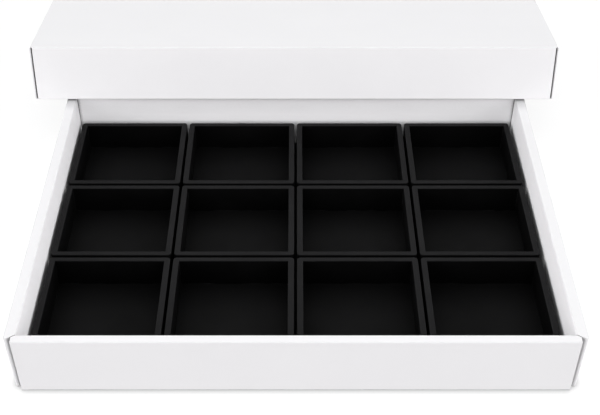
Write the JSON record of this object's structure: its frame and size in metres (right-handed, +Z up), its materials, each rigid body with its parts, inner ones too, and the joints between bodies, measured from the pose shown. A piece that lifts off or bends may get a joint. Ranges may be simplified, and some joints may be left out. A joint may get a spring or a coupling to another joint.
{
  "type": "flat gift box",
  "caption": "Shallow folded-card gift box: a tray with flat ledges holding a grid of small open boxes, its deep hollow-walled lid leaning at the back.",
  "frame": {"origin": "centre of the tray's underside, on the table", "axes": "+X to the right along the tray's long front, +Y to the back, towards the leaning lid, +Z up"},
  "size_m": [0.45, 0.6413, 0.0991],
  "materials": {
    "white_card": "matte",
    "black_card": "matte"
  },
  "bodies": {
    "base_tray": {"base_tray": "white_card", "liner": "black_card"},
    "lid": {"lid": "white_card"},
    "box_r1_c1": {"box_r1_c1": "black_card"},
    "box_r1_c2": {"box_r1_c2": "black_card"},
    "box_r1_c3": {"box_r1_c3": "black_card"},
    "box_r1_c4": {"box_r1_c4": "black_card"},
    "box_r2_c1": {"box_r2_c1": "black_card"},
    "box_r2_c2": {"box_r2_c2": "black_card"},
    "box_r2_c3": {"box_r2_c3": "black_card"},
    "box_r2_c4": {"box_r2_c4": "black_card"},
    "box_r3_c1": {"box_r3_c1": "black_card"},
    "box_r3_c2": {"box_r3_c2": "black_card"},
    "box_r3_c3": {"box_r3_c3": "black_card"},
    "box_r3_c4": {"box_r3_c4": "black_card"}
  },
  "joints": [
    {"name": "lid_lift", "type": "slide", "parent": "base_tray", "child": "lid", "axis": [0, 0, 1], "range_m": [0, 0.15]},
    {"name": "box_r1_c1_lift", "type": "slide", "parent": "base_tray", "child": "box_r1_c1", "axis": [0, 0, 1], "range_m": [0, 0.08]},
    {"name": "box_r1_c2_lift", "type": "slide", "parent": "base_tray", "child": "box_r1_c2", "axis": [0, 0, 1], "range_m": [0, 0.08]},
    {"name": "box_r1_c3_lift", "type": "slide", "parent": "base_tray", "child": "box_r1_c3", "axis": [0, 0, 1], "range_m": [0, 0.08]},
    {"name": "box_r1_c4_lift", "type": "slide", "parent": "base_tray", "child": "box_r1_c4", "axis": [0, 0, 1], "range_m": [0, 0.08]},
    {"name": "box_r2_c1_lift", "type": "slide", "parent": "base_tray", "child": "box_r2_c1", "axis": [0, 0, 1], "range_m": [0, 0.08]},
    {"name": "box_r2_c2_lift", "type": "slide", "parent": "base_tray", "child": "box_r2_c2", "axis": [0, 0, 1], "range_m": [0, 0.08]},
    {"name": "box_r2_c3_lift", "type": "slide", "parent": "base_tray", "child": "box_r2_c3", "axis": [0, 0, 1], "range_m": [0, 0.08]},
    {"name": "box_r2_c4_lift", "type": "slide", "parent": "base_tray", "child": "box_r2_c4", "axis": [0, 0, 1], "range_m": [0, 0.08]},
    {"name": "box_r3_c1_lift", "type": "slide", "parent": "base_tray", "child": "box_r3_c1", "axis": [0, 0, 1], "range_m": [0, 0.08]},
    {"name": "box_r3_c2_lift", "type": "slide", "parent": "base_tray", "child": "box_r3_c2", "axis": [0, 0, 1], "range_m": [0, 0.08]},
    {"name": "box_r3_c3_lift", "type": "slide", "parent": "base_tray", "child": "box_r3_c3", "axis": [0, 0, 1], "range_m": [0, 0.08]},
    {"name": "box_r3_c4_lift", "type": "slide", "parent": "base_tray", "child": "box_r3_c4", "axis": [0, 0, 1], "range_m": [0, 0.08]}
  ]
}
